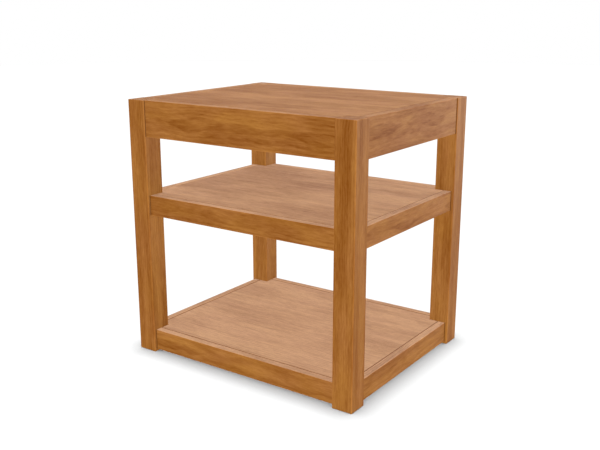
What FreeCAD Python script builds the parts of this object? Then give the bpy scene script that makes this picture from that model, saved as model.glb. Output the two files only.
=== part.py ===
"""End table with a framed top and two framed shelves, as the separate pieces that a joiner makes.

Lengths are in millimetres. The origin is on the floor under the middle of the table, +X runs to the right
along the front, +Y runs to the back and +Z is up.
"""
import FreeCAD, Part
import os
from collections import namedtuple

Vector = FreeCAD.Vector

# Overall sizes
WIDTH = 558.8
DEPTH = 457.2
HEIGHT = 558.8

# Legs: square posts that run from the floor to the top
LEG_SIDE = 45.0
LEG_EASE = 1.5

# Frame of the top: four deep aprons, set a little behind the faces of the legs
APRON_HEIGHT = 76.2
APRON_THICKNESS = 20.0
APRON_SETBACK = 2.4
APRON_TOP_SHOULDER = 14.0
APRON_BOTTOM_SHOULDER = 8.0

# Frames of the two shelves: four rails each, set further behind the faces of the legs
SHELF_RAIL_THICKNESS = 16.0
SHELF_SETBACK = 6.4
SHELF_SHOULDER = 7.0
UPPER_BAY_HEIGHT = 126.0
MIDDLE_RAIL_HEIGHT = 43.6
BOTTOM_RAIL_HEIGHT = 45.7
FLOOR_CLEARANCE = 5.0

# Arrises of the aprons and rails, rounded all round so that each joint shows as a fine line
RAIL_EASE = 1.2

# Round-ended tenons, and the mortises in the legs that take them
TENON_THICKNESS = 8.0
TENON_END_CHAMFER = 1.0
TENON_FIT = 0.15
MORTISE_RELIEF = 1.5
MORTISE_WEB = 3.0

# Panels: notched round the legs, level with their frames, with a groove all round
PANEL_THICKNESS = 18.0
PANEL_GAP = 0.8
PANEL_EASE = 0.6

# Cleats: square strips inside the frames that carry the panels
CLEAT_SIDE = 19.0
CLEAT_CHAMFER = 3.0
CLEAT_END_GAP = 0.5

# Countersunk wood screws, all alike, and their places along the clear length between two legs
SCREW_DIAMETER = 4.0
SCREW_HEAD_DIAMETER = 8.0
SCREW_POINT = 6.0
SCREW_BITE = 11.0
SCREW_FIT = 0.1
LONG_RAIL_SCREW_SHARES = (-0.36, 0.0, 0.36)
SHORT_RAIL_SCREW_SHARES = (-0.34, 0.34)
PANEL_SCREW_SHARES = (-0.2, 0.2)

# Corner blocks: braces set across the inside corners of the apron frame
BLOCK_HEIGHT = 36.0
BLOCK_REACH = 36.0
BLOCK_LEG_GAP = 0.3
BLOCK_SCREW_SHARE = 0.35

# How far a cut runs past the face that it opens
CUT_OVERRUN = 5.0

SCREW_LENGTH = CLEAT_SIDE + SCREW_BITE
UP = Vector(0, 0, 1)
OUTWARD = Vector(0, -1, 0)

# A framed level of the table, from the top of its panel down
Level = namedtuple(
    "Level",
    "name rail_name panel_name top rail_height thickness setback top_shoulder bottom_shoulder",
)

# One side of the table. Pieces are made as on the front, along X with their outside towards -Y, and then
# turned about the upright axis. half_depth is the distance from the middle to the outer faces of the legs,
# half_length is half the length over the legs, and clear is the length between the legs.
Side = namedtuple("Side", "name turn half_depth half_length clear rail_screw_shares")


def make_levels():
    """The apron frame and the two shelf frames."""
    middle_top = HEIGHT - APRON_HEIGHT - UPPER_BAY_HEIGHT
    bottom_top = FLOOR_CLEARANCE + BOTTOM_RAIL_HEIGHT
    return (
        Level("top", "top_apron", "top_panel", HEIGHT, APRON_HEIGHT, APRON_THICKNESS, APRON_SETBACK,
              APRON_TOP_SHOULDER, APRON_BOTTOM_SHOULDER),
        Level("middle", "middle_rail", "middle_shelf_panel", middle_top, MIDDLE_RAIL_HEIGHT,
              SHELF_RAIL_THICKNESS, SHELF_SETBACK, SHELF_SHOULDER, SHELF_SHOULDER),
        Level("bottom", "bottom_rail", "bottom_shelf_panel", bottom_top, BOTTOM_RAIL_HEIGHT,
              SHELF_RAIL_THICKNESS, SHELF_SETBACK, SHELF_SHOULDER, SHELF_SHOULDER),
    )


def make_sides():
    """The four sides, in turn from the front round to the left."""
    across = (DEPTH / 2, WIDTH / 2, WIDTH - 2 * LEG_SIDE, LONG_RAIL_SCREW_SHARES)
    along = (WIDTH / 2, DEPTH / 2, DEPTH - 2 * LEG_SIDE, SHORT_RAIL_SCREW_SHARES)
    return (
        Side("front", 0, *across),
        Side("right", 90, *along),
        Side("rear", 180, *across),
        Side("left", 270, *along),
    )


LEVELS = make_levels()
TOP_LEVEL = LEVELS[0]
SIDES = make_sides()

# The rail ends that meet in the front left leg: the first and last sides, and which end, -1 or 1 along its X
FRONT_LEFT_ENDS = ((SIDES[0], -1), (SIDES[-1], 1))

# The other corners are mirror images of the front left one, in these planes
CORNER_MIRRORS = {
    "front_left": (),
    "front_right": (Vector(1, 0, 0),),
    "rear_left": (Vector(0, 1, 0),),
    "rear_right": (Vector(1, 0, 0), Vector(0, 1, 0)),
}


def single(shape):
    """The one solid of a shape, with an error if it has fallen apart or vanished."""
    if len(shape.Solids) != 1:
        raise ValueError("expected one solid, got %d" % len(shape.Solids))
    return shape.Solids[0]


def turned(shape, side):
    """A piece made as on the front, turned to its own side of the table."""
    return shape.rotated(Vector(), UP, side.turn)


def mirrored(shape, normals):
    """A piece of the front left corner, mirrored to another corner."""
    for normal in normals:
        shape = shape.mirror(Vector(), normal)
    return shape


def inner_offset(level):
    """Distance from the outer faces of the legs to the inner faces of the rails."""
    return level.setback + level.thickness


def cleat_top(level):
    """Height of the seat that the cleats give the panel."""
    return level.top - PANEL_THICKNESS


def cleat_bottom(level):
    """Height of the underside of the cleats."""
    return cleat_top(level) - CLEAT_SIDE


def tenon_length(level):
    """The longest tenon that leaves a web of wood between the two mortises that meet in a leg."""
    far_cheek = level.setback + level.thickness / 2 + TENON_THICKNESS / 2
    return LEG_SIDE - far_cheek - MORTISE_WEB - MORTISE_RELIEF


def round_ended_bar(start, direction, thickness, height, length):
    """Upright bar with half-round top and bottom, from a start point along a level direction."""
    sideways = UP.cross(direction) * (thickness / 2)
    to_arc = UP * (height / 2 - thickness / 2)
    to_crown = UP * (height / 2)
    upper_near = start + to_arc + sideways
    upper_far = start + to_arc - sideways
    lower_near = start - to_arc + sideways
    lower_far = start - to_arc - sideways
    outline = Part.Wire([
        Part.LineSegment(lower_near, upper_near).toShape(),
        Part.Arc(upper_near, start + to_crown, upper_far).toShape(),
        Part.LineSegment(upper_far, lower_far).toShape(),
        Part.Arc(lower_far, start - to_crown, lower_near).toShape(),
    ])
    return Part.Face(outline).extrude(direction * length)


def tenon_root(level, side, end):
    """Middle of a tenon where it leaves the shoulder of its rail."""
    tenon_top = level.top - level.top_shoulder
    tenon_bottom = level.top - level.rail_height + level.bottom_shoulder
    centre_line = -side.half_depth + level.setback + level.thickness / 2
    return Vector(end * side.clear / 2, centre_line, (tenon_top + tenon_bottom) / 2)


def tenon_height(level):
    """Height of a tenon between the shoulders above and below it."""
    return level.rail_height - level.top_shoulder - level.bottom_shoulder


def tenon(level, side, end):
    """Tenon on one end of a rail, with its far end chamfered."""
    root = tenon_root(level, side, end)
    length = tenon_length(level)
    bar = round_ended_bar(root, Vector(end, 0, 0), TENON_THICKNESS, tenon_height(level), length)
    far_edges = [edge for edge in bar.Edges if end * (edge.CenterOfMass.x - root.x) > 3 * length / 4]
    return bar.makeChamfer(TENON_END_CHAMFER, far_edges)


def mortise(level, side, end):
    """Pocket in a leg for one tenon, with room for glue round it and behind it."""
    direction = Vector(end, 0, 0)
    mouth = tenon_root(level, side, end) - direction * CUT_OVERRUN
    thickness = TENON_THICKNESS + 2 * TENON_FIT
    height = tenon_height(level) + 2 * TENON_FIT
    length = CUT_OVERRUN + tenon_length(level) + MORTISE_RELIEF
    return round_ended_bar(mouth, direction, thickness, height, length)


def leg_front_left():
    """Leg with eased arrises and the six mortises of its two inner faces."""
    post = Part.makeBox(LEG_SIDE, LEG_SIDE, HEIGHT, Vector(-WIDTH / 2, -DEPTH / 2, 0))
    leg = post.makeFillet(LEG_EASE, post.Edges)
    for level in LEVELS:
        for side, end in FRONT_LEFT_ENDS:
            leg = leg.cut(turned(mortise(level, side, end), side))
    return single(leg)


def screw_solid(fit=0.0):
    """Countersunk screw along +Z with its head at the origin, or the hole for it, wider by a fit."""
    head_radius = SCREW_HEAD_DIAMETER / 2 + fit
    shank_radius = SCREW_DIAMETER / 2 + fit
    length = SCREW_LENGTH + fit
    outline = [
        Vector(0, 0, 0),
        Vector(head_radius, 0, 0),
        Vector(shank_radius, 0, head_radius - shank_radius),
        Vector(shank_radius, 0, length - SCREW_POINT),
        Vector(0, 0, length),
        Vector(0, 0, 0),
    ]
    return Part.Face(Part.makePolygon(outline)).revolve(Vector(), UP, 360)


def screw_hole(mouth):
    """Hole for a screw, with a straight mouth above its head."""
    counterbore = Part.makeCylinder(SCREW_HEAD_DIAMETER / 2 + SCREW_FIT, mouth, Vector(0, 0, -mouth))
    return single(screw_solid(SCREW_FIT).fuse(counterbore))


def driven(shape, head, direction):
    """A screw or a screw hole with its head at a point and its axis along a direction."""
    placed = shape.copy()
    placed.Placement = FreeCAD.Placement(head, FreeCAD.Rotation(UP, direction))
    return placed


def rail_screw_heads(level, side):
    """Heads of the screws that fix a cleat to its rail, on the inner face of the cleat."""
    face = -side.half_depth + inner_offset(level) + CLEAT_SIDE
    height = cleat_bottom(level) + CLEAT_SIDE / 2
    return [Vector(share * side.clear, face, height) for share in side.rail_screw_shares]


def panel_screw_heads(level, side):
    """Heads of the screws that hold a panel down, on the underside of the cleat."""
    middle = -side.half_depth + inner_offset(level) + CLEAT_SIDE / 2
    return [Vector(share * side.clear, middle, cleat_bottom(level)) for share in PANEL_SCREW_SHARES]


def block_near():
    """Distance from an outer corner of the table to where a corner block first meets an apron."""
    return 2 * LEG_SIDE + 2 * BLOCK_LEG_GAP - inner_offset(TOP_LEVEL)


def block_screw_head(side, end):
    """Head of the screw that fixes the corner block at one end of a side to its apron."""
    from_corner = block_near() + BLOCK_SCREW_SHARE * BLOCK_REACH
    seat = -side.half_depth + inner_offset(TOP_LEVEL) + SCREW_LENGTH - SCREW_BITE
    height = cleat_bottom(TOP_LEVEL) - BLOCK_HEIGHT / 2
    return Vector(end * (side.half_length - from_corner), seat, height)


def block_screw_heads(side):
    """Heads of the corner block screws at both ends of a side."""
    return [block_screw_head(side, end) for end in (-1, 1)]


def rail(level, side):
    """Apron or rail with eased arrises, a tenon on each end and the pilot holes of its screws."""
    corner = Vector(-side.clear / 2, -side.half_depth + level.setback, level.top - level.rail_height)
    bar = Part.makeBox(side.clear, level.thickness, level.rail_height, corner)
    body = bar.makeFillet(RAIL_EASE, bar.Edges)
    for end in (-1, 1):
        body = body.fuse(tenon(level, side, end))
    heads = rail_screw_heads(level, side)
    if level is TOP_LEVEL:
        heads = heads + block_screw_heads(side)
    for head in heads:
        body = body.cut(driven(screw_solid(SCREW_FIT), head, OUTWARD))
    return single(turned(body, side))


def cleat(level, side):
    """Strip with its free lower arris taken off, drilled for the screws through it."""
    rail_face = -side.half_depth + inner_offset(level)
    free_face = rail_face + CLEAT_SIDE
    top = cleat_top(level)
    bottom = cleat_bottom(level)
    stop = max(LEG_SIDE, inner_offset(level) + CLEAT_SIDE) + CLEAT_END_GAP
    start = stop - side.half_length
    section = Part.makePolygon([
        Vector(start, rail_face, bottom),
        Vector(start, free_face - CLEAT_CHAMFER, bottom),
        Vector(start, free_face, bottom + CLEAT_CHAMFER),
        Vector(start, free_face, top),
        Vector(start, rail_face, top),
        Vector(start, rail_face, bottom),
    ])
    strip = Part.Face(section).extrude(Vector(-2 * start, 0, 0))
    hole = screw_hole(CUT_OVERRUN)
    for head in rail_screw_heads(level, side):
        strip = strip.cut(driven(hole, head, OUTWARD))
    for head in panel_screw_heads(level, side):
        strip = strip.cut(driven(hole, head, UP))
    return single(turned(strip, side))


def panel_outline(level):
    """Rectangle inside the rails with a square notch round each leg."""
    half_x = WIDTH / 2 - inner_offset(level) - PANEL_GAP
    half_y = DEPTH / 2 - inner_offset(level) - PANEL_GAP
    leg_x = WIDTH / 2 - LEG_SIDE - PANEL_GAP
    leg_y = DEPTH / 2 - LEG_SIDE - PANEL_GAP
    underside = cleat_top(level)
    points = []
    for x_sign, y_sign in ((1, -1), (1, 1), (-1, 1), (-1, -1)):
        notch = [
            Vector(x_sign * leg_x, y_sign * half_y, underside),
            Vector(x_sign * leg_x, y_sign * leg_y, underside),
            Vector(x_sign * half_x, y_sign * leg_y, underside),
        ]
        if x_sign == y_sign:
            notch.reverse()
        points += notch
    return Part.makePolygon(points + points[:1])


def panel(level):
    """Panel with its upper arris eased, drilled from below for its screws."""
    plate = Part.Face(panel_outline(level)).extrude(UP * PANEL_THICKNESS)
    upper_edges = [edge for edge in plate.Edges if edge.CenterOfMass.z > level.top - PANEL_THICKNESS / 4]
    body = plate.makeFillet(PANEL_EASE, upper_edges)
    for side in SIDES:
        for head in panel_screw_heads(level, side):
            body = body.cut(turned(driven(screw_solid(SCREW_FIT), head, UP), side))
    return single(body)


def corner_block_front_left():
    """Brace across the inside corner, its ends mitred to the aprons and its back clear of the leg."""
    inner = inner_offset(TOP_LEVEL)
    near = block_near()
    far = near + BLOCK_REACH
    corner = Vector(-WIDTH / 2, -DEPTH / 2, cleat_bottom(TOP_LEVEL) - BLOCK_HEIGHT)
    points = [Vector(near, inner, 0), Vector(far, inner, 0), Vector(inner, far, 0), Vector(inner, near, 0)]
    outline = Part.makePolygon([corner + point for point in points + points[:1]])
    block = Part.Face(outline).extrude(UP * BLOCK_HEIGHT)
    hole = screw_hole(BLOCK_REACH)
    for side, end in FRONT_LEFT_ENDS:
        block = block.cut(turned(driven(hole, block_screw_head(side, end), OUTWARD), side))
    return single(block)


def screw_group(heads_by_side, direction):
    """Separate screws for every head, as one group."""
    screw = screw_solid()
    screws = []
    for side, heads in heads_by_side:
        screws += [turned(driven(screw, head, direction), side) for head in heads]
    return Part.makeCompound(screws)


def level_pieces(level):
    """Rails, panel, cleats and screws of one level, by node name."""
    pieces = {level.panel_name: panel(level)}
    for side in SIDES:
        pieces["%s_%s" % (level.rail_name, side.name)] = rail(level, side)
        pieces["%s_cleat_%s" % (level.name, side.name)] = cleat(level, side)
    rail_heads = [(side, rail_screw_heads(level, side)) for side in SIDES]
    panel_heads = [(side, panel_screw_heads(level, side)) for side in SIDES]
    pieces["%s_cleat_screws" % level.name] = screw_group(rail_heads, OUTWARD)
    pieces["%s_panel_screws" % level.name] = screw_group(panel_heads, UP)
    return pieces


def corner_pieces():
    """Legs and corner blocks, by node name, with the screws of the blocks."""
    leg = leg_front_left()
    block = corner_block_front_left()
    pieces = {}
    for corner, normals in CORNER_MIRRORS.items():
        pieces["leg_" + corner] = mirrored(leg, normals)
        pieces["corner_block_" + corner] = mirrored(block, normals)
    block_heads = [(side, block_screw_heads(side)) for side in SIDES]
    pieces["corner_block_screws"] = screw_group(block_heads, OUTWARD)
    return pieces


def main():
    """Build every piece and write each one to its own file."""
    pieces = corner_pieces()
    for level in LEVELS:
        pieces.update(level_pieces(level))
    os.makedirs("parts", exist_ok=True)
    for name, shape in pieces.items():
        shape.exportStep("parts/%s.step" % name)
    print("%d nodes written" % len(pieces))


main()
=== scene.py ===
"""Looks of an end table with two shelves: its woods, screws, floor, light and camera.

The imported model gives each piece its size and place, and this script dresses it. Lengths are in
metres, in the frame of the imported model, and colours are linear light.
"""

import logging
import math
from collections.abc import Iterable, Mapping, Sequence
from dataclasses import dataclass, replace
from enum import Enum
from functools import cache
from typing import Self

import bpy
from mathutils import Color, Euler, Matrix, Vector


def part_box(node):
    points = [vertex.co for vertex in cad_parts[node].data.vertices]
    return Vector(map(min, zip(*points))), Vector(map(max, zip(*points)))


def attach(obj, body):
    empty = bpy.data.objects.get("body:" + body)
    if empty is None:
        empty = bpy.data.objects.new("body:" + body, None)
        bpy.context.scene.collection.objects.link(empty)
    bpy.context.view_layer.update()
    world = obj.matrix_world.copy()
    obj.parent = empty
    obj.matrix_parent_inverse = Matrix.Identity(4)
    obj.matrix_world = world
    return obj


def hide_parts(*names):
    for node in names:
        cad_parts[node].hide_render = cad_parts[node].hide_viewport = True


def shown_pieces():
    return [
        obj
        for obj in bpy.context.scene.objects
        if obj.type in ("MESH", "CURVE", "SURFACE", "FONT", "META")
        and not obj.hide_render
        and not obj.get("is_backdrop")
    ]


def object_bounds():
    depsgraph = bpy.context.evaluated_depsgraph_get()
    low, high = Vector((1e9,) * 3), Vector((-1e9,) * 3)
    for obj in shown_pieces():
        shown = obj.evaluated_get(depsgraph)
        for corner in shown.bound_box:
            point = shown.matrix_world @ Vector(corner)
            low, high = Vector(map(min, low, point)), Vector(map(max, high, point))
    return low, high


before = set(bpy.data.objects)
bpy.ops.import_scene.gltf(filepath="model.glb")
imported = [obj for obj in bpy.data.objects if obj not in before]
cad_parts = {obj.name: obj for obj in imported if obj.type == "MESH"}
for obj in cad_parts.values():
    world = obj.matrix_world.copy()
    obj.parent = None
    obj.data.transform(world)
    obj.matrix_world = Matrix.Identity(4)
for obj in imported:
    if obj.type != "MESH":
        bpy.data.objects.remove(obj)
CAD_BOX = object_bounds()

BODY = "root"
GOLDEN_SHARE = (math.sqrt(5) - 1) / 2
QUARTER_TURN = math.pi / 2
SCREEN_WHITE = 255
UP = (0.0, 0.0, 1.0)
LOG = logging.getLogger("end_table")

Colour = tuple[float, float, float, float]
Triple = tuple[float, float, float]
Output = bpy.types.NodeSocket
Outputs = Mapping[str, Output]
Source = Output | float | Sequence[float]
Inputs = Mapping[str | int, Source]

WHITE: Colour = (1.0, 1.0, 1.0, 1.0)


def shade(red: int, green: int, blue: int) -> Colour:
    """Linear colour, opaque, of a shade that is named by its screen values from 0 to 255."""
    screen = Color((red / SCREEN_WHITE, green / SCREEN_WHITE, blue / SCREEN_WHITE))
    return (*screen.from_srgb_to_scene_linear(), 1.0)


def spread(index: int) -> float:
    """Number from 0 to 1 that is far from its neighbours', for variety without chance."""
    return (index * GOLDEN_SHARE + GOLDEN_SHARE) % 1.0


def middle(node: str) -> Vector:
    """Middle of a node's box."""
    low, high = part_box(node)
    return (low + high) / 2


def extent(node: str, direction: Vector) -> float:
    """Length of a node's box along one of the table's axes."""
    low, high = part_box(node)
    return abs((high - low).dot(direction))


class Grain(Enum):
    """Axis that the fibres of a piece run along."""

    ALONG_X = "x"
    ALONG_Y = "y"
    ALONG_Z = "z"

    @property
    def turn(self) -> Euler:
        """Turn that lays the fibres along the X axis."""
        turns = {"x": (0.0, 0.0, 0.0), "y": (0.0, 0.0, -QUARTER_TURN), "z": (0.0, QUARTER_TURN, 0.0)}
        return Euler(turns[self.value])

    @property
    def direction(self) -> Vector:
        """Unit vector along the fibres."""
        return Vector(tuple(float(axis == self.value) for axis in "xyz"))


class Socket(Enum):
    """Kinds of socket that an effect group has."""

    VALUE = "NodeSocketFloat"
    VECTOR = "NodeSocketVector"
    COLOUR = "NodeSocketColor"

    def named(self, *names: str) -> dict[str, "Socket"]:
        """Sockets of this kind, by name."""
        return dict.fromkeys(names, self)


class NodeSheet:
    """Adds nodes to one node tree, each input given as a value or as another node's output.

    The Mix node's sockets share their names, so those for colours go by number.
    """

    mix_inputs = (0, 6, 7)
    mix_result = 2

    def __init__(self, tree: bpy.types.NodeTree) -> None:
        """Starts work on a node tree."""
        self.tree = tree

    def feed(self, socket: Output, source: Source) -> None:
        """Links a socket to another node's output, or sets it to a value.

        Args:
            socket: An input of a node.
            source: The output or the value.
        """
        if isinstance(source, Output):
            self.tree.links.new(source, socket)
        else:
            socket.default_value = source

    def add(self, kind: str, inputs: Inputs | None = None, **settings: object) -> bpy.types.Node:
        """Adds a node.

        Args:
            kind: Blender's name for the type of node.
            inputs: Values or outputs for the node's inputs, by name or by number.
            settings: Properties of the node.

        Returns:
            The new node.
        """
        node = self.tree.nodes.new(kind)
        for name, setting in settings.items():
            setattr(node, name, setting)
        for key, source in (inputs or {}).items():
            self.feed(node.inputs[key], source)
        return node

    def math(self, operation: str, *values: Source, clamp: bool = False) -> Output:
        """Output of a Math node on up to three values."""
        node = self.add("ShaderNodeMath", dict(enumerate(values)), operation=operation, use_clamp=clamp)
        return node.outputs[0]

    def vector(self, operation: str, *values: Source, output: str = "Vector") -> Output:
        """Output of a Vector Math node, a vector or the value of a length or a dot product."""
        node = self.add("ShaderNodeVectorMath", dict(enumerate(values)), operation=operation)
        return node.outputs[output]

    def parts(self, vector: Source) -> tuple[Output, ...]:
        """The X, Y and Z of a vector."""
        return tuple(self.add("ShaderNodeSeparateXYZ", {0: vector}).outputs)

    def ramp(self, value: Source, start: Source, end: Source) -> Output:
        """Smooth step of a value, 0 at the start and 1 at the end."""
        inputs = {"Value": value, "From Min": start, "From Max": end}
        return self.add("ShaderNodeMapRange", inputs, interpolation_type="SMOOTHSTEP").outputs[0]

    def about_zero(self, share: Source) -> Output:
        """A share from 0 to 1 as a number from -1 to 1."""
        return self.math("MULTIPLY_ADD", share, 2.0, -1.0)

    def cloud(self, position: Source, repeats: Source, detail: float, rough: float = 0.5) -> Outputs:
        """Adds cloudy noise.

        Args:
            position: Where the noise is read.
            repeats: Features to the metre along each axis.
            detail: Finer layers laid over the noise.
            rough: Strength of the finer layers.

        Returns:
            The noise's value and colour.
        """
        place = self.vector("MULTIPLY", position, repeats)
        inputs = {"Vector": place, "Scale": 1.0, "Detail": detail, "Roughness": rough}
        return self.add("ShaderNodeTexNoise", inputs).outputs

    def noise(self, position: Source, repeats: Source, detail: float, rough: float = 0.5) -> Output:
        """Value of cloudy noise about 0, from about -1 to 1, with what cloud takes."""
        return self.about_zero(self.cloud(position, repeats, detail, rough)[0])

    def blend(self, share: Source, first: Source, second: Source) -> Output:
        """Colour between two colours, with a share from 0 to 1 of the second."""
        inputs = dict(zip(self.mix_inputs, (share, first, second)))
        return self.add("ShaderNodeMix", inputs, data_type="RGBA").outputs[self.mix_result]


def fresh_sheet(owner: bpy.types.Material | bpy.types.World) -> NodeSheet:
    """Starts a material or a world afresh.

    Args:
        owner: The material or world.

    Returns:
        The sheet of its empty node tree.
    """
    owner.use_nodes = True
    owner.node_tree.nodes.clear()
    return NodeSheet(owner.node_tree)


class EffectGroup(NodeSheet):
    """Shader node group that several finishes place, each with values of its own."""

    title = ""
    takes: Mapping[str, Socket] = {}
    gives: Mapping[str, Socket] = {}

    def __init__(self) -> None:
        """Makes the group's sockets and nodes."""
        super().__init__(bpy.data.node_groups.new(self.title, "ShaderNodeTree"))
        for way, kinds in (("INPUT", self.takes), ("OUTPUT", self.gives)):
            for name, kind in kinds.items():
                self.tree.interface.new_socket(name=name, in_out=way, socket_type=kind.value)
        given = self.add("NodeGroupInput").outputs
        self.add("NodeGroupOutput", self.draw(given))

    @classmethod
    @cache
    def shared(cls) -> Self:
        """The one group of this kind, which every finish places."""
        return cls()

    def draw(self, given: Outputs) -> Outputs:
        """Adds the group's nodes for its inputs and gives its outputs, both by name."""
        raise NotImplementedError

    def place(self, sheet: NodeSheet, inputs: Inputs) -> Outputs:
        """Puts the group in a material and returns its outputs by name."""
        return sheet.add("ShaderNodeGroup", inputs, node_tree=self.tree).outputs


class WoodFigure(EffectGroup):
    """Growth rings, clouded figure, streaks and pores of solid wood with its fibres along X.

    Repeats, detail and rough are those of the cloudy noise.
    """

    title = "wood_figure"
    takes = (
        Socket.VECTOR.named("Position", "Log Place", "Patch Repeats", "Streak Repeats")
        | Socket.VALUE.named("Mean Tone", "Ring Spacing", "Waviness")
        | Socket.VALUE.named("Ring Contrast", "Patch Contrast", "Streak Contrast")
    )
    gives = Socket.VALUE.named("Tone", "Gold", "Pores", "Relief")

    bend_repeats = (7.0, 20.0, 20.0)
    bend_detail = 2.0
    bend_range = (0.0, 2.0, 2.0)
    bend_start = (0.0, -1.0, -1.0)
    across_fibres = (0.0, 1.0, 1.0)
    weakest_ring = 0.25
    late_wood_rise = (0.2, 0.8)
    late_wood_fall = (1.0, 0.86)
    patch_detail = 5.0
    patch_rough = 0.55
    patch_edge = 0.32
    gold_repeats = (9.0, 26.0, 26.0)
    gold_detail = 3.0
    gold_edge = 0.5
    streak_detail = 4.0
    fibre_repeats = (50.0, 420.0, 420.0)
    fibre_detail = 3.0
    fibre_rough = 0.6
    fibre_contrast = 0.38
    fibre_relief = 0.25
    pore_repeats = (130.0, 2100.0, 2100.0)
    pore_detail = 1.0
    pore_edge = (0.22, 0.5)
    pore_relief = -1.5

    def draw(self, given: Outputs) -> Outputs:
        """Adds the rings about the pith, then the layers that lie along the fibres.

        Args:
            given: The group's inputs by name.

        Returns:
            The outputs by name.
        """
        straight = self.vector("ADD", given["Position"], given["Log Place"])
        place = self.bend(straight, given["Waviness"])
        late_wood = self.rings(place, given["Ring Spacing"])
        patches = self.patches(place, given["Patch Repeats"])
        hue = self.noise(straight, self.gold_repeats, self.gold_detail)
        gold = self.ramp(hue, -self.gold_edge, self.gold_edge)
        streak = self.noise(place, given["Streak Repeats"], self.streak_detail, self.fibre_rough)
        fibre = self.noise(place, self.fibre_repeats, self.fibre_detail, self.fibre_rough)
        pore = self.noise(place, self.pore_repeats, self.pore_detail)
        pores = self.ramp(pore, *self.pore_edge)
        tone = self.math("MULTIPLY_ADD", patches, given["Patch Contrast"], given["Mean Tone"])
        tone = self.math("MULTIPLY_ADD", streak, given["Streak Contrast"], tone)
        tone = self.math("MULTIPLY_ADD", fibre, self.fibre_contrast, tone)
        darkening = self.math("MULTIPLY", late_wood, given["Ring Contrast"])
        tone = self.math("SUBTRACT", tone, darkening, clamp=True)
        raised = self.math("MULTIPLY_ADD", fibre, self.fibre_relief, late_wood)
        relief = self.math("MULTIPLY_ADD", pores, self.pore_relief, raised)
        return {"Tone": tone, "Gold": gold, "Pores": pores, "Relief": relief}

    def bend(self, position: Output, reach: Output) -> Output:
        """Moves a position a little to and fro across the fibres, as they wander in a log.

        Args:
            position: Position in a straight log.
            reach: How far a bend moves the fibres, in metres.

        Returns:
            Position in the bent log.
        """
        raw = self.cloud(position, self.bend_repeats, self.bend_detail)["Color"]
        shift = self.vector("MULTIPLY_ADD", raw, self.bend_range, self.bend_start)
        return self.vector("MULTIPLY_ADD", shift, reach, position)

    def rings(self, place: Output, spacing: Output) -> Output:
        """Adds the growth rings, each of a strength of its own.

        Args:
            place: Position in the log, whose pith is the X axis.
            spacing: Distance from ring to ring, in metres.

        Returns:
            How much late wood there is, from 0 to 1.
        """
        across = self.vector("MULTIPLY", place, self.across_fibres)
        from_pith = self.vector("LENGTH", across, output="Value")
        count = self.math("DIVIDE", from_pith, spacing)
        number = self.math("FLOOR", count)
        through = self.math("FRACT", count)
        chance = self.add("ShaderNodeTexWhiteNoise", {"W": number}, noise_dimensions="1D").outputs[0]
        strength = self.math("MULTIPLY_ADD", chance, 1.0 - self.weakest_ring, self.weakest_ring)
        rise = self.ramp(through, *self.late_wood_rise)
        fall = self.ramp(through, *self.late_wood_fall)
        return self.math("MULTIPLY", self.math("MULTIPLY", rise, fall), strength)

    def patches(self, place: Output, repeats: Output) -> Output:
        """Adds the dark and light patches of the figure, with ragged edges along the fibres.

        Args:
            place: Position in the log.
            repeats: Patches to the metre along each axis.

        Returns:
            The patches, from -1 where dark to 1 where light.
        """
        cloud = self.noise(place, repeats, self.patch_detail, self.patch_rough)
        light = self.ramp(cloud, -self.patch_edge, self.patch_edge)
        return self.about_zero(light)


class FaceMasks(EffectGroup):
    """Where a piece shows end grain, faces up, has an arris or meets its neighbour."""

    title = "face_masks"
    takes = (
        Socket.VECTOR.named("Position", "Half Size", "Fibre Direction", "Seam Shift")
        | Socket.VALUE.named("Arris Width", "Seam Width", "End Seams", "Side Seams")
    )
    gives = Socket.VALUE.named("End Grain", "Upward", "Arris", "Seam")

    wear_repeats = (55.0, 55.0, 55.0)
    wear_detail = 2.0
    wear_variety = 0.6
    end_grain_edge = (0.6, 0.95)
    upward_edge = (0.5, 0.95)

    def draw(self, given: Outputs) -> Outputs:
        """Measures the distance to the piece's ends and edges, and which way the face looks.

        Args:
            given: The group's inputs by name.

        Returns:
            The outputs by name.
        """
        normal = self.add("ShaderNodeNewGeometry").outputs["Normal"]
        along = self.vector("DOT_PRODUCT", normal, given["Fibre Direction"], output="Value")
        upward = self.vector("DOT_PRODUCT", normal, UP, output="Value")
        end, side, rise = self.depths(given["Half Size"], given["Position"])
        near = self.math("MINIMUM", side, rise)
        far = self.math("MAXIMUM", side, rise)
        edge = self.math("MAXIMUM", near, self.math("MINIMUM", far, end))
        # The arris band is wear and also a painted highlight on the eased edges; its width wanders.
        edge_wobble = self.noise(given["Position"], self.wear_repeats, self.wear_detail)
        reach = self.math("MULTIPLY_ADD", edge_wobble, self.wear_variety, 1.0)
        arris = self.ramp(edge, self.math("MULTIPLY", reach, given["Arris Width"]), 0.0)
        # Seams: painted shade along the gaps where the piece meets its neighbours.
        fitted = self.vector("ADD", given["Position"], given["Seam Shift"])
        end, side, _ = self.depths(given["Half Size"], fitted)
        seams = [
            self.math("MULTIPLY", self.ramp(depth, given["Seam Width"], 0.0), given[wanted])
            for depth, wanted in ((end, "End Seams"), (side, "Side Seams"))
        ]
        return {
            "End Grain": self.ramp(self.math("ABSOLUTE", along), *self.end_grain_edge),
            "Upward": self.ramp(upward, *self.upward_edge),
            "Arris": arris,
            "Seam": self.math("MAXIMUM", *seams),
        }

    def depths(self, half_size: Source, position: Source) -> tuple[Output, ...]:
        """Distances from a piece's ends, its sides, and its top and underside."""
        return self.parts(self.vector("SUBTRACT", half_size, self.vector("ABSOLUTE", position)))


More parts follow.
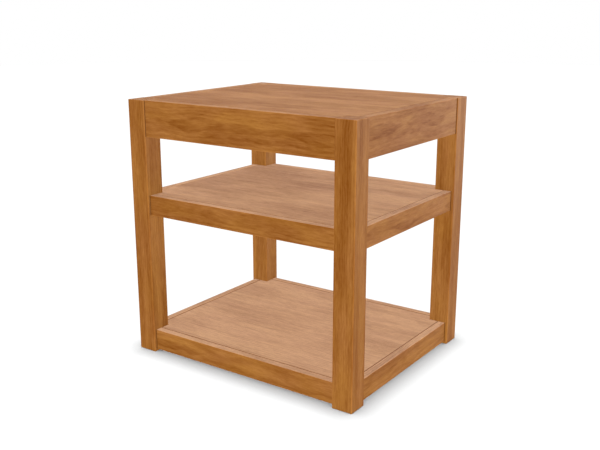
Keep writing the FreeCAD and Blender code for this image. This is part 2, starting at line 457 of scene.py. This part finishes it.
class JointLines(EffectGroup):
    """Painted shade: a dark line in the corners where the rails of one level meet a leg."""

    title = "joint_lines"
    takes = (
        Socket.VECTOR.named("Position", "Leg Inside", "Leg Outside")
        | Socket.VALUE.named("Setback", "Low", "High")
    )
    gives = Socket.VALUE.named("Seam")

    width = 0.0024

    def draw(self, given: Outputs) -> Outputs:
        """Measures the distance to the two upright corners of a leg, between the rail's edges.

        Args:
            given: The group's inputs by name.

        Returns:
            The outputs by name.
        """
        place = self.vector("ABSOLUTE", given["Position"])
        height = self.parts(place)[2]
        rail_face = self.vector("SUBTRACT", given["Leg Outside"], given["Setback"])
        inside_x, inside_y, _ = self.parts(self.vector("SUBTRACT", place, given["Leg Inside"]))
        face_x, face_y, _ = self.parts(self.vector("SUBTRACT", place, rail_face))
        front = self.reach(inside_x, face_y)
        side = self.reach(face_x, inside_y)
        line = self.ramp(self.math("MINIMUM", front, side), self.width, 0.0)
        over = self.math("GREATER_THAN", height, given["Low"])
        under = self.math("LESS_THAN", height, given["High"])
        return {"Seam": self.math("MULTIPLY", line, self.math("MULTIPLY", over, under))}

    def reach(self, across: Source, deep: Source) -> Output:
        """Length of a line from its two sides at a right angle."""
        both = self.add("ShaderNodeCombineXYZ", {0: across, 1: deep}).outputs[0]
        return self.vector("LENGTH", both, output="Value")

    def line(self, sheet: NodeSheet, position: Output, rails: str) -> Output:
        """Places the lines of one level of rails on a leg.

        Args:
            sheet: The leg's node tree.
            position: Position in the table.
            rails: Words that the names of the rails' nodes start with.

        Returns:
            The mask of the painted shade.
        """
        leg_low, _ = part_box("leg_front_left")
        inside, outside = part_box("leg_rear_right")
        low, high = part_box(f"{rails}_front")
        return self.place(sheet, {
            "Position": position,
            "Leg Inside": inside,
            "Leg Outside": outside,
            "Setback": low.y - leg_low.y,
            "Low": low.z,
            "High": high.z,
        })["Seam"]


class StainCoat(EffectGroup):
    """Colour and roughness of wood under its stain and lacquer, with painted sheen, shade and edge
    highlights.
    """

    title = "stain_coat"
    takes = (
        Socket.VALUE.named("Tone", "Gold", "Pores", "End Grain", "Upward", "Arris", "Seam")
        | Socket.COLOUR.named("Dark", "Light", "Pore", "Worn", "Pooled", "Haze")
        | Socket.VALUE.named("Haze Amount", "Hue Wander", "Roughness")
    )
    gives = Socket.COLOUR.named("Colour") | Socket.VALUE.named("Roughness")

    rosy = (1.0, 0.985, 1.18, 1.0)
    golden = (1.0, 1.015, 0.82, 1.0)
    haze_by_tone = 0.9
    # End grain darkens with pooled stain, arrises lighten with wear and a painted highlight, seams darken
    # as painted shade.
    layers = (
        ("Pores", 0.35, "Pore"),
        ("End Grain", 0.12, "Pooled"),
        ("Arris", 0.08, "Worn"),
        ("Seam", 0.8, "Pooled"),
    )
    dulling = {"Tone": -0.08, "Pores": 0.12, "Upward": 0.30, "Arris": -0.06}

    def draw(self, given: Outputs) -> Outputs:
        """Lays the stain's shades, painted sheen and painted shade over each other, from the bare figure
        to the seams.

        Args:
            given: The group's inputs by name.

        Returns:
            The outputs by name.
        """
        colour = self.blend(given["Tone"], given["Dark"], given["Light"])
        hue = self.blend(given["Gold"], self.rosy, self.golden)
        colour = self.vector("MULTIPLY", colour, self.blend(given["Hue Wander"], WHITE, hue))
        # Painted sheen: a pale film on upward faces in place of the lacquer's reflection, more on lighter
        # wood.
        least_sheen = 1.0 - self.haze_by_tone / 2
        tone_sheen = self.math("MULTIPLY_ADD", given["Tone"], self.haze_by_tone, least_sheen)
        upward_sheen = self.math("MULTIPLY", given["Upward"], given["Haze Amount"])
        sheen_share = self.math("MULTIPLY", upward_sheen, tone_sheen, clamp=True)
        colour = self.vector("MULTIPLY_ADD", given["Haze"], sheen_share, colour)
        for mask, share, shade_name in self.layers:
            colour = self.blend(self.math("MULTIPLY", given[mask], share), colour, given[shade_name])
        roughness = given["Roughness"]
        for mask, share in self.dulling.items():
            roughness = self.math("MULTIPLY_ADD", given[mask], share, roughness, clamp=True)
        return {"Colour": colour, "Roughness": roughness}


@dataclass(frozen=True)
class Board:
    """One piece of wood, as it lies in the table and as it was sawn from its log.

    The half length is given where tenons make the node longer than what shows of it, and the
    rails where the piece is a leg that they meet.
    """

    node: str
    grain: Grain
    log_place: Vector
    tone: float = 0.5
    half_length: float | None = None
    # Whether painted shade darkens the piece's ends and its sides, where they meet neighbours.
    end_seams: bool = False
    side_seams: bool = False
    rails: tuple[str, ...] = ()

    @property
    def half_size(self) -> Vector:
        """Measures the piece.

        Returns:
            Half of its length along its fibres, and of its two sides across them.
        """
        low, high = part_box(self.node)
        half = (high - low) / 2
        half.rotate(self.grain.turn)
        half = Vector(map(abs, half))
        if self.half_length is not None:
            half.x = self.half_length
        return half


@dataclass(frozen=True)
class WoodFinish:
    """Shades and surface of one kind of finished wood."""

    name: str
    dark: Colour
    light: Colour
    pore: Colour
    # Colour of the arrises: wear, and also a painted highlight.
    worn: Colour
    # Colour of end grain, from pooled stain, and of the seams, as painted shade.
    pooled: Colour
    # Painted sheen laid on upward faces, and its amount.
    haze: Colour = (0.245, 0.200, 0.165, 1.0)
    haze_amount: float = 0.0
    hue_wander: float = 0.65
    roughness: float = 0.48
    specular: float = 0.04
    ring_spacing: float = 0.0052
    waviness: float = 0.008
    ring_contrast: float = 0.21
    patch_contrast: float = 0.16
    patch_repeats: Triple = (7.0, 34.0, 34.0)
    streak_contrast: float = 0.14
    streak_repeats: Triple = (16.0, 170.0, 170.0)
    arris_width: float = 0.0016
    # Width and shift of the band of painted shade along the seams.
    seam_width: float = 0.0021
    seam_shift: Triple = (0.0, 0.0, 0.0)
    bump_strength: float = 0.22
    bump_distance: float = 0.00022

    def values(self, effect: type[EffectGroup]) -> dict[str, Source]:
        """The finish's own values for an effect, whose inputs are named as the fields are."""
        own = {name.replace("_", " ").title(): value for name, value in vars(self).items()}
        return {name: own[name] for name in effect.takes if name in own}

    def dress(self, board: Board) -> None:
        """Gives a piece a material of its own, with the figure of its place in the log.

        Args:
            board: The piece and how it was sawn.
        """
        material = bpy.data.materials.new(f"{self.name}.{board.node}")
        sheet = fresh_sheet(material)
        turn = board.grain.turn
        shift = middle(board.node)
        shift.rotate(turn)
        table_place = sheet.add("ShaderNodeTexCoord").outputs["Object"]
        turning = {"Vector": table_place, "Location": -shift, "Rotation": turn}
        position = sheet.add("ShaderNodeMapping", turning).outputs[0]
        figure = WoodFigure.shared().place(sheet, {
            "Position": position,
            "Log Place": board.log_place,
            "Mean Tone": board.tone,
            **self.values(WoodFigure),
        })
        masks = FaceMasks.shared().place(sheet, {
            "Position": position,
            "Half Size": board.half_size,
            "Fibre Direction": board.grain.direction,
            "End Seams": float(board.end_seams),
            "Side Seams": float(board.side_seams),
            **self.values(FaceMasks),
        })
        # Painted shade at the seams, and on a leg in the corners by each level of rails.
        seam = masks["Seam"]
        for rails in board.rails:
            line = JointLines.shared().line(sheet, table_place, rails)
            seam = sheet.math("MAXIMUM", seam, line)
        coat = StainCoat.shared().place(sheet, {
            **{name: figure[name] for name in ("Tone", "Gold", "Pores")},
            **{name: masks[name] for name in ("End Grain", "Upward", "Arris")},
            "Seam": seam,
            **self.values(StainCoat),
        })
        relief = sheet.add("ShaderNodeBump", {
            "Strength": self.bump_strength,
            "Distance": self.bump_distance,
            "Height": figure["Relief"],
        })
        surface = sheet.add("ShaderNodeBsdfPrincipled", {
            "Base Color": coat["Colour"],
            "Roughness": coat["Roughness"],
            "Specular IOR Level": self.specular,
            "Normal": relief.outputs[0],
        })
        sheet.add("ShaderNodeOutputMaterial", {"Surface": surface.outputs[0]})
        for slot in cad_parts[board.node].material_slots:
            slot.material = material
        LOG.info("%s: %s", board.node, self.name)


FRAME_WOOD = WoodFinish(
    name="stained_frame_wood",
    dark=shade(127, 69, 14),
    light=shade(187, 128, 66),
    pore=shade(92, 48, 10),
    worn=shade(196, 136, 76),
    pooled=shade(84, 42, 8),
    haze_amount=0.42,
)
LEG_WOOD = replace(
    FRAME_WOOD,
    waviness=0.006,
    ring_contrast=0.14,
    patch_contrast=0.20,
    patch_repeats=(3.6, 42.0, 42.0),
    streak_contrast=0.13,
)
# The shelves' rails differ only in the painted sheen on their upward faces.
MIDDLE_WOOD = replace(FRAME_WOOD, haze_amount=0.87)
BOTTOM_WOOD = replace(FRAME_WOOD, haze_amount=0.92)
PANEL_WOOD = replace(
    FRAME_WOOD,
    hue_wander=0.5,
    ring_contrast=0.20,
    patch_repeats=(5.5, 15.0, 15.0),
    streak_contrast=0.27,
    streak_repeats=(6.0, 62.0, 62.0),
    seam_width=0.0003,
)
# Each panel has its own painted sheen; the bottom one has wider painted shade at its seams.
TOP_PANEL_WOOD = replace(PANEL_WOOD, haze_amount=0.29)
MIDDLE_PANEL_WOOD = replace(PANEL_WOOD, haze_amount=0.74)
BOTTOM_PANEL_WOOD = replace(
    PANEL_WOOD,
    haze_amount=0.89,
    patch_contrast=0.09,
    seam_width=0.0029,
    seam_shift=(-0.0009, 0.0009, 0.0),
)
CLEAT_WOOD = WoodFinish(
    name="bare_cleat_wood",
    dark=shade(186, 146, 98),
    light=shade(222, 188, 140),
    pore=shade(160, 118, 76),
    worn=shade(226, 196, 152),
    pooled=shade(150, 108, 66),
    roughness=0.7,
    specular=0.3,
)


class Corner(Enum):
    """Corners of the table, by their words in a node's name."""

    FRONT_LEFT = "front_left"
    FRONT_RIGHT = "front_right"
    REAR_LEFT = "rear_left"
    REAR_RIGHT = "rear_right"


class Side(Enum):
    """Sides of the table, by the direction that each faces."""

    FRONT = (0, -1)
    RIGHT = (1, 0)
    REAR = (0, 1)
    LEFT = (-1, 0)

    @property
    def label(self) -> str:
        """The side's word in a node's name."""
        return self.name.lower()

    @property
    def grain(self) -> Grain:
        """Direction of a rail on this side."""
        return Grain.ALONG_X if self.value[0] == 0 else Grain.ALONG_Y

    @property
    def outward(self) -> Vector:
        """Unit vector that points out of this side."""
        return Vector((*self.value, 0.0))

    @property
    def clear_half_length(self) -> float:
        """Half of the clear length between the two legs of this side."""
        (_, near), (far, _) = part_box("leg_front_left"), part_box("leg_rear_right")
        return (far - near).dot(self.grain.direction) / 2


@dataclass
class LegSet:
    """The four square legs, each with its mean tone and its place along the log."""

    finish: WoodFinish
    rails: tuple[str, ...]
    tones: tuple[float, ...] = (0.47, 0.41, 0.55, 0.46)
    log_starts: tuple[float, ...] = (222.3, 24.9, 125.2, 144.3)
    pith_reach: float = 0.055
    nearest_pith: float = 0.8
    pith_variety: float = 0.4

    def dress(self) -> None:
        """Dresses each leg with a figure of its own."""
        for index, corner in enumerate(Corner):
            across = self.pith_reach * (self.nearest_pith + self.pith_variety * spread(index))
            place = Vector((self.log_starts[index], across, self.pith_reach))
            name = f"leg_{corner.value}"
            self.finish.dress(Board(name, Grain.ALONG_Z, place, self.tones[index], rails=self.rails))


@dataclass
class ShelfLevel:
    """The rails, panel and cleats at one height of the table, counted from the top.

    Each rail and the panel has its mean tone and its place along the log.
    """

    order: int
    rails: str
    panel: str
    cleats: str
    rail_finish: WoodFinish
    panel_finish: WoodFinish
    rail_tones: tuple[float, ...]
    rail_starts: tuple[float, ...]
    panel_tone: float
    panel_start: float
    cleat_finish: WoodFinish = CLEAT_WOOD
    pith_depth: float = 0.045
    pith_variety: float = 0.02
    cleat_shift: Triple = (0.4, 0.02, 0.03)
    panel_pith: tuple[float, float] = (0.35, 0.16)

    def dress(self) -> None:
        """Dresses the four rails, the cleats behind them and the panel that these carry."""
        for index, side in enumerate(Side):
            variety = spread(len(Side) * self.order + index) - 0.5
            place = Vector((self.rail_starts[index], self.pith_depth, self.pith_variety * variety))
            name = f"{self.rails}_{side.label}"
            tone = self.rail_tones[index]
            rail = Board(name, side.grain, place, tone, half_length=side.clear_half_length, end_seams=True)
            self.rail_finish.dress(rail)
            cleat_place = place + Vector(self.cleat_shift)
            cleat = Board(f"{self.cleats}_{side.label}", side.grain, cleat_place)
            self.cleat_finish.dress(cleat)
        place = Vector((self.panel_start, *self.panel_pith))
        panel = Board(self.panel, Grain.ALONG_X, place, self.panel_tone, end_seams=True, side_seams=True)
        self.panel_finish.dress(panel)


@dataclass
class CornerBlockSet:
    """The four blocks that brace the top's corners, cut one after another from a log."""

    finish: WoodFinish
    log_step: float = 0.5
    pith: tuple[float, float] = (0.04, 0.03)

    def dress(self) -> None:
        """Dresses each block with a figure of its own."""
        for index, corner in enumerate(Corner):
            place = Vector((self.log_step * index, *self.pith))
            self.finish.dress(Board(f"corner_block_{corner.value}", Grain.ALONG_Z, place))


@dataclass(frozen=True)
class SteelFinish:
    """Zinc-plated steel, a little clouded."""

    name: str = "zinc_plated_steel"
    bright: Colour = shade(204, 205, 204)
    dull: Colour = shade(150, 150, 152)
    mean_tone: float = 0.55
    cloud_repeats: Triple = (420.0, 420.0, 420.0)
    cloud_detail: float = 3.0
    cloud_contrast: float = 0.6
    cloud_roughness: float = 0.12
    grain_repeats: Triple = (5200.0, 5200.0, 5200.0)
    grain_detail: float = 1.0
    grain_contrast: float = 0.25
    roughness: float = 0.34
    bump_strength: float = 0.15
    bump_distance: float = 0.00005

    def mix(self) -> bpy.types.Material:
        """Mixes the finish.

        Returns:
            The material.
        """
        material = bpy.data.materials.new(self.name)
        sheet = fresh_sheet(material)
        place = sheet.add("ShaderNodeTexCoord").outputs["Object"]
        cloud = sheet.noise(place, self.cloud_repeats, self.cloud_detail)
        grain = sheet.noise(place, self.grain_repeats, self.grain_detail)
        clouded = sheet.math("MULTIPLY_ADD", cloud, self.cloud_contrast, self.mean_tone)
        tone = sheet.math("MULTIPLY_ADD", grain, self.grain_contrast, clouded)
        relief = sheet.add("ShaderNodeBump", {
            "Strength": self.bump_strength,
            "Distance": self.bump_distance,
            "Height": grain,
        })
        surface = sheet.add("ShaderNodeBsdfPrincipled", {
            "Base Color": sheet.blend(tone, self.dull, self.bright),
            "Metallic": 1.0,
            "Roughness": sheet.math("MULTIPLY_ADD", cloud, self.cloud_roughness, self.roughness),
            "Normal": relief.outputs[0],
        })
        sheet.add("ShaderNodeOutputMaterial", {"Surface": surface.outputs[0]})
        return material


@dataclass
class WoodScrew:
    """Countersunk wood screw that points along +Z, with the face of its head at the origin."""

    facets: int = 32
    head_radius: float = 0.0040
    head_depth: float = 0.0020
    rim: float = 0.00025
    shank_radius: float = 0.0020
    shank_end: float = 0.0100
    core_radius: float = 0.0014
    core_start: float = 0.0108
    core_end: float = 0.0240
    length: float = 0.0300
    thread_pitch: float = 0.0018
    thread_turns: int = 7
    thread_steps: int = 20
    tooth_sides: int = 3
    tooth_radius: float = 0.0005
    recess_arms: int = 2
    recess_length: float = 0.0046
    recess_width: float = 0.0010
    recess_depth: float = 0.0016
    recess_taper: float = 0.45
    least_facing: float = 0.5
    smooth_angle: float = 32.0

    def model(self) -> bpy.types.Object:
        """Models the screw.

        Returns:
            The screw, to be copied and then removed.
        """
        body = self.turn_body()
        for arm in range(self.recess_arms):
            self.combine(body, self.add_blade(arm * QUARTER_TURN), "DIFFERENCE")
        self.combine(body, self.wind_thread(), "UNION")
        bpy.ops.object.select_all(action="DESELECT")
        body.select_set(True)
        bpy.context.view_layer.objects.active = body
        bpy.ops.object.shade_smooth_by_angle(angle=math.radians(self.smooth_angle))
        return body

    def turn_body(self) -> bpy.types.Object:
        """Draws the head, shank, core and point out of a disc.

        Returns:
            The body, without recess or thread.
        """
        start = self.head_radius - self.rim
        bpy.ops.mesh.primitive_circle_add(vertices=self.facets, radius=start, fill_type="NGON")
        body = bpy.context.object
        bpy.ops.object.mode_set(mode="EDIT")
        sections = (
            (self.rim, self.head_radius),
            (self.rim * 2, self.head_radius),
            (self.head_depth, self.shank_radius),
            (self.shank_end, self.shank_radius),
            (self.core_start, self.core_radius),
            (self.core_end, self.core_radius),
            (self.length, self.core_radius / self.facets),
        )
        height, radius = 0.0, start
        for next_height, next_radius in sections:
            step = {"value": (0.0, 0.0, next_height - height)}
            bpy.ops.mesh.extrude_region_move(TRANSFORM_OT_translate=step)
            share = next_radius / radius
            bpy.ops.transform.resize(value=(share, share, 1.0), center_override=(0.0, 0.0, next_height))
            height, radius = next_height, next_radius
        bpy.ops.mesh.select_all(action="SELECT")
        bpy.ops.mesh.normals_make_consistent(inside=False)
        bpy.ops.object.mode_set(mode="OBJECT")
        return body

    def add_blade(self, turn: float) -> bpy.types.Object:
        """Makes one arm of the cross that is cut in the head, narrower at its foot.

        Args:
            turn: Angle of the arm about the screw.

        Returns:
            The blade, half of it above the head.
        """
        bpy.ops.mesh.primitive_cube_add(size=1.0)
        blade = bpy.context.object
        blade.scale = (self.recess_length, self.recess_width, self.recess_depth * 2)
        blade.rotation_euler.z = turn
        bpy.ops.object.transform_apply(location=False, rotation=True, scale=True)
        for face in blade.data.polygons:
            face.select = face.normal.z > self.least_facing
        bpy.ops.object.mode_set(mode="EDIT")
        taper = (self.recess_taper, self.recess_taper, 1.0)
        bpy.ops.transform.resize(value=taper, center_override=(0.0, 0.0, self.recess_depth))
        bpy.ops.object.mode_set(mode="OBJECT")
        return blade

    def wind_thread(self) -> bpy.types.Object:
        """Winds a three-sided ridge round the core.

        Returns:
            The closed ridge.
        """
        bpy.ops.mesh.primitive_circle_add(
            vertices=self.tooth_sides,
            radius=self.tooth_radius,
            location=(self.shank_radius - self.tooth_radius, 0.0, self.core_start),
            rotation=(QUARTER_TURN, QUARTER_TURN, 0.0),
        )
        ridge = bpy.context.object
        bpy.ops.object.transform_apply(location=True, rotation=True, scale=True)
        winding = ridge.modifiers.new("winding", "SCREW")
        winding.axis = "Z"
        winding.screw_offset = self.thread_pitch
        winding.iterations = self.thread_turns
        winding.steps = self.thread_steps
        bpy.ops.object.modifier_apply(modifier=winding.name)
        bpy.ops.object.mode_set(mode="EDIT")
        bpy.ops.mesh.select_all(action="SELECT")
        bpy.ops.mesh.fill_holes(sides=self.tooth_sides)
        bpy.ops.mesh.normals_make_consistent(inside=False)
        bpy.ops.object.mode_set(mode="OBJECT")
        return ridge

    def combine(self, body: bpy.types.Object, tool: bpy.types.Object, operation: str) -> None:
        """Cuts a tool out of the screw or joins it on, then removes the tool.

        Args:
            body: The screw.
            tool: The shape to cut out or join on.
            operation: Blender's name for the way that the shapes meet.
        """
        joint = body.modifiers.new("joint", "BOOLEAN")
        joint.operation = operation
        joint.solver = "EXACT"
        joint.object = tool
        bpy.context.view_layer.objects.active = body
        bpy.ops.object.modifier_apply(modifier=joint.name)
        bpy.data.objects.remove(tool)


@dataclass(frozen=True)
class ScrewPlace:
    """Middle of a screw's head, and the direction that the screw is driven in."""

    head: Vector
    into: Vector


@dataclass
class ScrewSet:
    """The screws of one node."""

    node: str
    places: Sequence[ScrewPlace]
    slot: str = "screw_steel"

    def drive(self, pattern: bpy.types.Object, steel: bpy.types.Material) -> None:
        """Copies a screw to each place, each turned by another angle, as a driver leaves it.

        Args:
            pattern: The screw to copy.
            steel: Material of the screws.
        """
        bpy.ops.object.select_all(action="DESELECT")
        for index, place in enumerate(self.places):
            turn = Matrix.Rotation(spread(index) * math.tau, 4, "Z")
            aim = place.into.to_track_quat("Z", "Y").to_matrix().to_4x4()
            mesh = pattern.data.copy()
            mesh.transform(Matrix.Translation(place.head) @ aim @ turn)
            screw = bpy.data.objects.new(f"{self.node}_driven", mesh)
            bpy.context.scene.collection.objects.link(screw)
            screw.select_set(True)
            bpy.context.view_layer.objects.active = screw
        bpy.ops.object.join()
        piece = bpy.context.object
        piece.data.materials.append(steel)
        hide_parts(self.node)
        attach(piece, BODY)
        LOG.info("%s: %d screws", self.node, len(self.places))


@dataclass
class Screws:
    """All the screws under the top and the shelves, placed by shares of the length between legs."""

    levels: tuple[str, ...] = ("top", "middle", "bottom")
    long_rail_shares: tuple[float, ...] = (-0.36, 0.0, 0.36)
    short_rail_shares: tuple[float, ...] = (-0.34, 0.34)
    panel_shares: tuple[float, ...] = (-0.2, 0.2)
    block_corner_distance: float = 0.0808
    block_seat: float = 0.019

    def drive(self) -> None:
        """Models one screw and drives a copy of it in each place."""
        pattern = WoodScrew().model()
        steel = SteelFinish().mix()
        places = {}
        for level in self.levels:
            places |= self.cleat_places(level)
        places["corner_block_screws"] = self.block_places()
        for node, screws in places.items():
            ScrewSet(node, screws).drive(pattern, steel)
        bpy.data.objects.remove(pattern)

    def along(self, side: Side, share: float) -> Vector:
        """Step from the middle of a side, as a share of its clear length."""
        return side.grain.direction * (share * 2 * side.clear_half_length)

    def cleat_places(self, level: str) -> dict[str, list[ScrewPlace]]:
        """Finds the screws that hold a level's cleats to its rails, and its panel to the cleats.

        Args:
            level: First word of the cleats' names.

        Returns:
            Their places by node, side by side.
        """
        into_rails, into_panel = [], []
        for side in Side:
            cleat = f"{level}_cleat_{side.label}"
            centre = middle(cleat)
            face = centre - side.outward * (extent(cleat, side.outward) / 2)
            shares = self.long_rail_shares if side.grain is Grain.ALONG_X else self.short_rail_shares
            for share in shares:
                into_rails.append(ScrewPlace(face + self.along(side, share), side.outward))
            low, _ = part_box(cleat)
            for share in self.panel_shares:
                head = centre + self.along(side, share)
                head.z = low.z
                into_panel.append(ScrewPlace(head, Vector(UP)))
        return {f"{level}_cleat_screws": into_rails, f"{level}_panel_screws": into_panel}

    def block_places(self) -> list[ScrewPlace]:
        """Finds the screws that hold the corner blocks to the aprons, two to a side.

        Returns:
            Their places, side by side.
        """
        height = middle("corner_block_front_left").z
        table_low, table_high = CAD_BOX
        places = []
        for side in Side:
            apron = f"top_apron_{side.label}"
            seat = extent(apron, side.outward) / 2 + self.block_seat
            face = middle(apron) - side.outward * seat
            half = abs((table_high - table_low).dot(side.grain.direction)) / 2
            for way in (-1.0, 1.0):
                head = face + side.grain.direction * way * (half - self.block_corner_distance)
                head.z = height
                places.append(ScrewPlace(head, side.outward))
        return places


@dataclass(frozen=True)
class Lamp:
    """A distant lamp: the way that its light travels, its strength and the angle that it fills.

    A face that looks straight at a lamp of strength 1 shows its colour as written. The angle is
    in degrees.
    """

    towards: Triple
    strength: float
    angle: float = 1.0


FLOOR_LAMP = Lamp((0.0, 0.0, -1.0), 2.05, 10.0)
FILL_LAMPS = {
    "front": Lamp((0.0, 1.0, 0.0), 0.87),
    "right": Lamp((-1.0, 0.0, 0.0), 0.83),
    "rear": Lamp((0.0, -1.0, 0.0), 0.87),
    "left": Lamp((1.0, 0.0, 0.0), 0.83),
    "top": Lamp((0.0, 0.0, -1.0), 0.86),
    "under": Lamp((0.0, 0.0, 1.0), 0.60),
}
SHEEN_LAMPS = {
    "right": Lamp((-0.480, -0.866, -0.139), 0.90, 40.0),
    "top": Lamp((0.554, -0.791, -0.259), 0.42, 60.0),
}


@dataclass
class Studio:
    """Pale floor, soft light and the camera, whose angles are in degrees."""

    floor_radius: float = 9.0
    floor_points: int = 96
    floor_colour: Colour = (0.493, 0.498, 0.50, 1.0)
    bounce_colour: Colour = (0.15, 0.15, 0.15, 1.0)
    floor_shades: tuple[str, ...] = ("top_panel", "top_apron", "leg")
    sky_light: float = 0.12
    azimuth: float = 35.0
    elevation: float = 15.0
    view_height: float = 30.0
    distance: float = 1.8549
    target_height: float = 0.27875
    picture_shape: float = 600 / 450
    sensor_width: float = 36.0

    def build(self) -> None:
        """Builds the floor, the light and the camera."""
        floor = self.build_floor()
        self.build_world()
        self.build_lamps(floor)
        self.build_camera()

    def white_rays(self, sheet: NodeSheet) -> Output:
        """Adds the test for camera, glossy and transmission rays, which see the white background.

        Args:
            sheet: Node tree of the floor or the surround.

        Returns:
            1 for such a ray, and 0 for any other.
        """
        path = sheet.add("ShaderNodeLightPath").outputs
        seen = sheet.math("MAXIMUM", path["Is Camera Ray"], path["Is Glossy Ray"])
        return sheet.math("MAXIMUM", seen, path["Is Transmission Ray"])

    def build_floor(self) -> bpy.types.Object:
        """Makes a round floor that is white to the camera, keeps shadows and hides nothing from below.

        Returns:
            The floor.
        """
        points, radius = self.floor_points, self.floor_radius
        bpy.ops.mesh.primitive_circle_add(vertices=points, radius=radius, fill_type="NGON")
        floor = bpy.context.object
        floor.name = "studio_floor"
        material = bpy.data.materials.new("pale_floor")
        sheet = fresh_sheet(material)
        plain = sheet.add("ShaderNodeBsdfDiffuse", {"Color": self.bounce_colour})
        white = sheet.add("ShaderNodeBsdfDiffuse", {"Color": self.floor_colour})
        rays = self.white_rays(sheet)
        seen = sheet.add("ShaderNodeMixShader", {0: rays, 1: plain.outputs[0], 2: white.outputs[0]})
        clear = sheet.add("ShaderNodeBsdfTransparent")
        below = sheet.add("ShaderNodeNewGeometry").outputs["Backfacing"]
        surface = sheet.add("ShaderNodeMixShader", {0: below, 1: seen.outputs[0], 2: clear.outputs[0]})
        sheet.add("ShaderNodeOutputMaterial", {"Surface": surface.outputs[0]})
        floor.data.materials.append(material)
        floor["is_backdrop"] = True
        return floor

    def build_world(self) -> None:
        """Makes a white surround that lights the table softly."""
        world = bpy.data.worlds.new("studio_surround")
        bpy.context.scene.world = world
        sheet = fresh_sheet(world)
        level = sheet.math("MULTIPLY_ADD", self.white_rays(sheet), 1.0 - self.sky_light, self.sky_light)
        light = sheet.add("ShaderNodeBackground", {"Color": WHITE, "Strength": level})
        sheet.add("ShaderNodeOutputWorld", {"Surface": light.outputs[0]})

    def add_sun(self, name: str, lamp: Lamp, receivers: bpy.types.Collection) -> bpy.types.Object:
        """Adds a distant lamp that lights some objects only.

        Args:
            name: Name of the lamp.
            lamp: Its direction, strength and angle.
            receivers: The objects that it lights.

        Returns:
            The lamp's object.
        """
        sun = bpy.data.lights.new(name, "SUN")
        sun.energy = lamp.strength * math.pi
        sun.angle = math.radians(lamp.angle)
        holder = bpy.data.objects.new(name, sun)
        holder.rotation_euler = Vector(lamp.towards).to_track_quat("-Z", "Y").to_euler()
        holder.light_linking.receiver_collection = receivers
        bpy.context.scene.collection.objects.link(holder)
        return holder

    def group(self, name: str, things: Iterable[bpy.types.Object]) -> bpy.types.Collection:
        """Gathers the objects that a lamp lights, or whose shadows it throws.

        Args:
            name: Name of the collection.
            things: The objects.

        Returns:
            The collection.
        """
        group = bpy.data.collections.new(name)
        for thing in things:
            group.objects.link(thing)
        return group

    def build_lamps(self, floor: bpy.types.Object) -> None:
        """Adds the lamp over the floor, even fill light on the table, and the sheen on two sides.

        Args:
            floor: The floor, which has a lamp of its own.
        """
        over = self.add_sun("floor_lamp", FLOOR_LAMP, self.group("floor_only", [floor]))
        shades = [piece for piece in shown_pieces() if piece.name.startswith(self.floor_shades)]
        over.light_linking.blocker_collection = self.group("floor_shades", shades)
        table = self.group("table_only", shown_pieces())
        for name, lamp in FILL_LAMPS.items():
            fill = self.add_sun(f"fill_{name}", lamp, table)
            fill.data.use_shadow = False
            fill.data.cycles.max_bounces = 0
            fill.visible_glossy = False
        for name, lamp in SHEEN_LAMPS.items():
            sheen = self.add_sun(f"sheen_{name}", lamp, table)
            sheen.data.use_shadow = False
            sheen.visible_diffuse = False

    def build_camera(self) -> None:
        """Sets the camera at the angle of the photograph."""
        lens = bpy.data.cameras.new("camera")
        half_height = math.tan(math.radians(self.view_height) / 2)
        lens.sensor_width = self.sensor_width
        lens.lens = self.sensor_width / 2 / (half_height * self.picture_shape)
        holder = bpy.data.objects.new("camera", lens)
        turn, rise = math.radians(self.azimuth), math.radians(self.elevation)
        back = Vector((math.sin(turn) * math.cos(rise), -math.cos(turn) * math.cos(rise), math.sin(rise)))
        holder.location = Vector((0.0, 0.0, self.target_height)) + back * self.distance
        holder.rotation_euler = (-back).to_track_quat("-Z", "Y").to_euler()
        bpy.context.scene.collection.objects.link(holder)
        bpy.context.scene.camera = holder
        bpy.context.scene.view_settings.view_transform = "Standard"


def main() -> None:
    """Dresses the table's pieces in order, then sets the studio round it."""
    logging.basicConfig(level=logging.INFO, format="%(message)s")
    levels = (
        ShelfLevel(
            0, "top_apron", "top_panel", "top_cleat", FRAME_WOOD, TOP_PANEL_WOOD,
            rail_tones=(0.48, 0.40, 0.50, 0.50),
            rail_starts=(0.0, 137.9, 1.8, 2.7),
            panel_tone=0.45,
            panel_start=109.6,
        ),
        ShelfLevel(
            1, "middle_rail", "middle_shelf_panel", "middle_cleat", MIDDLE_WOOD, MIDDLE_PANEL_WOOD,
            rail_tones=(0.47, 0.46, 0.50, 0.50),
            rail_starts=(126.9, 86.7, 5.4, 6.3),
            panel_tone=0.48,
            panel_start=291.8,
        ),
        ShelfLevel(
            2, "bottom_rail", "bottom_shelf_panel", "bottom_cleat", BOTTOM_WOOD, BOTTOM_PANEL_WOOD,
            rail_tones=(0.55, 0.51, 0.50, 0.50),
            rail_starts=(116.8, 145.1, 9.0, 9.9),
            panel_tone=0.51,
            panel_start=281.9,
        ),
    )
    LegSet(LEG_WOOD, tuple(level.rails for level in levels)).dress()
    for level in levels:
        level.dress()
    CornerBlockSet(CLEAT_WOOD).dress()
    Screws().drive()
    Studio().build()


if __name__ == "__main__":
    main()
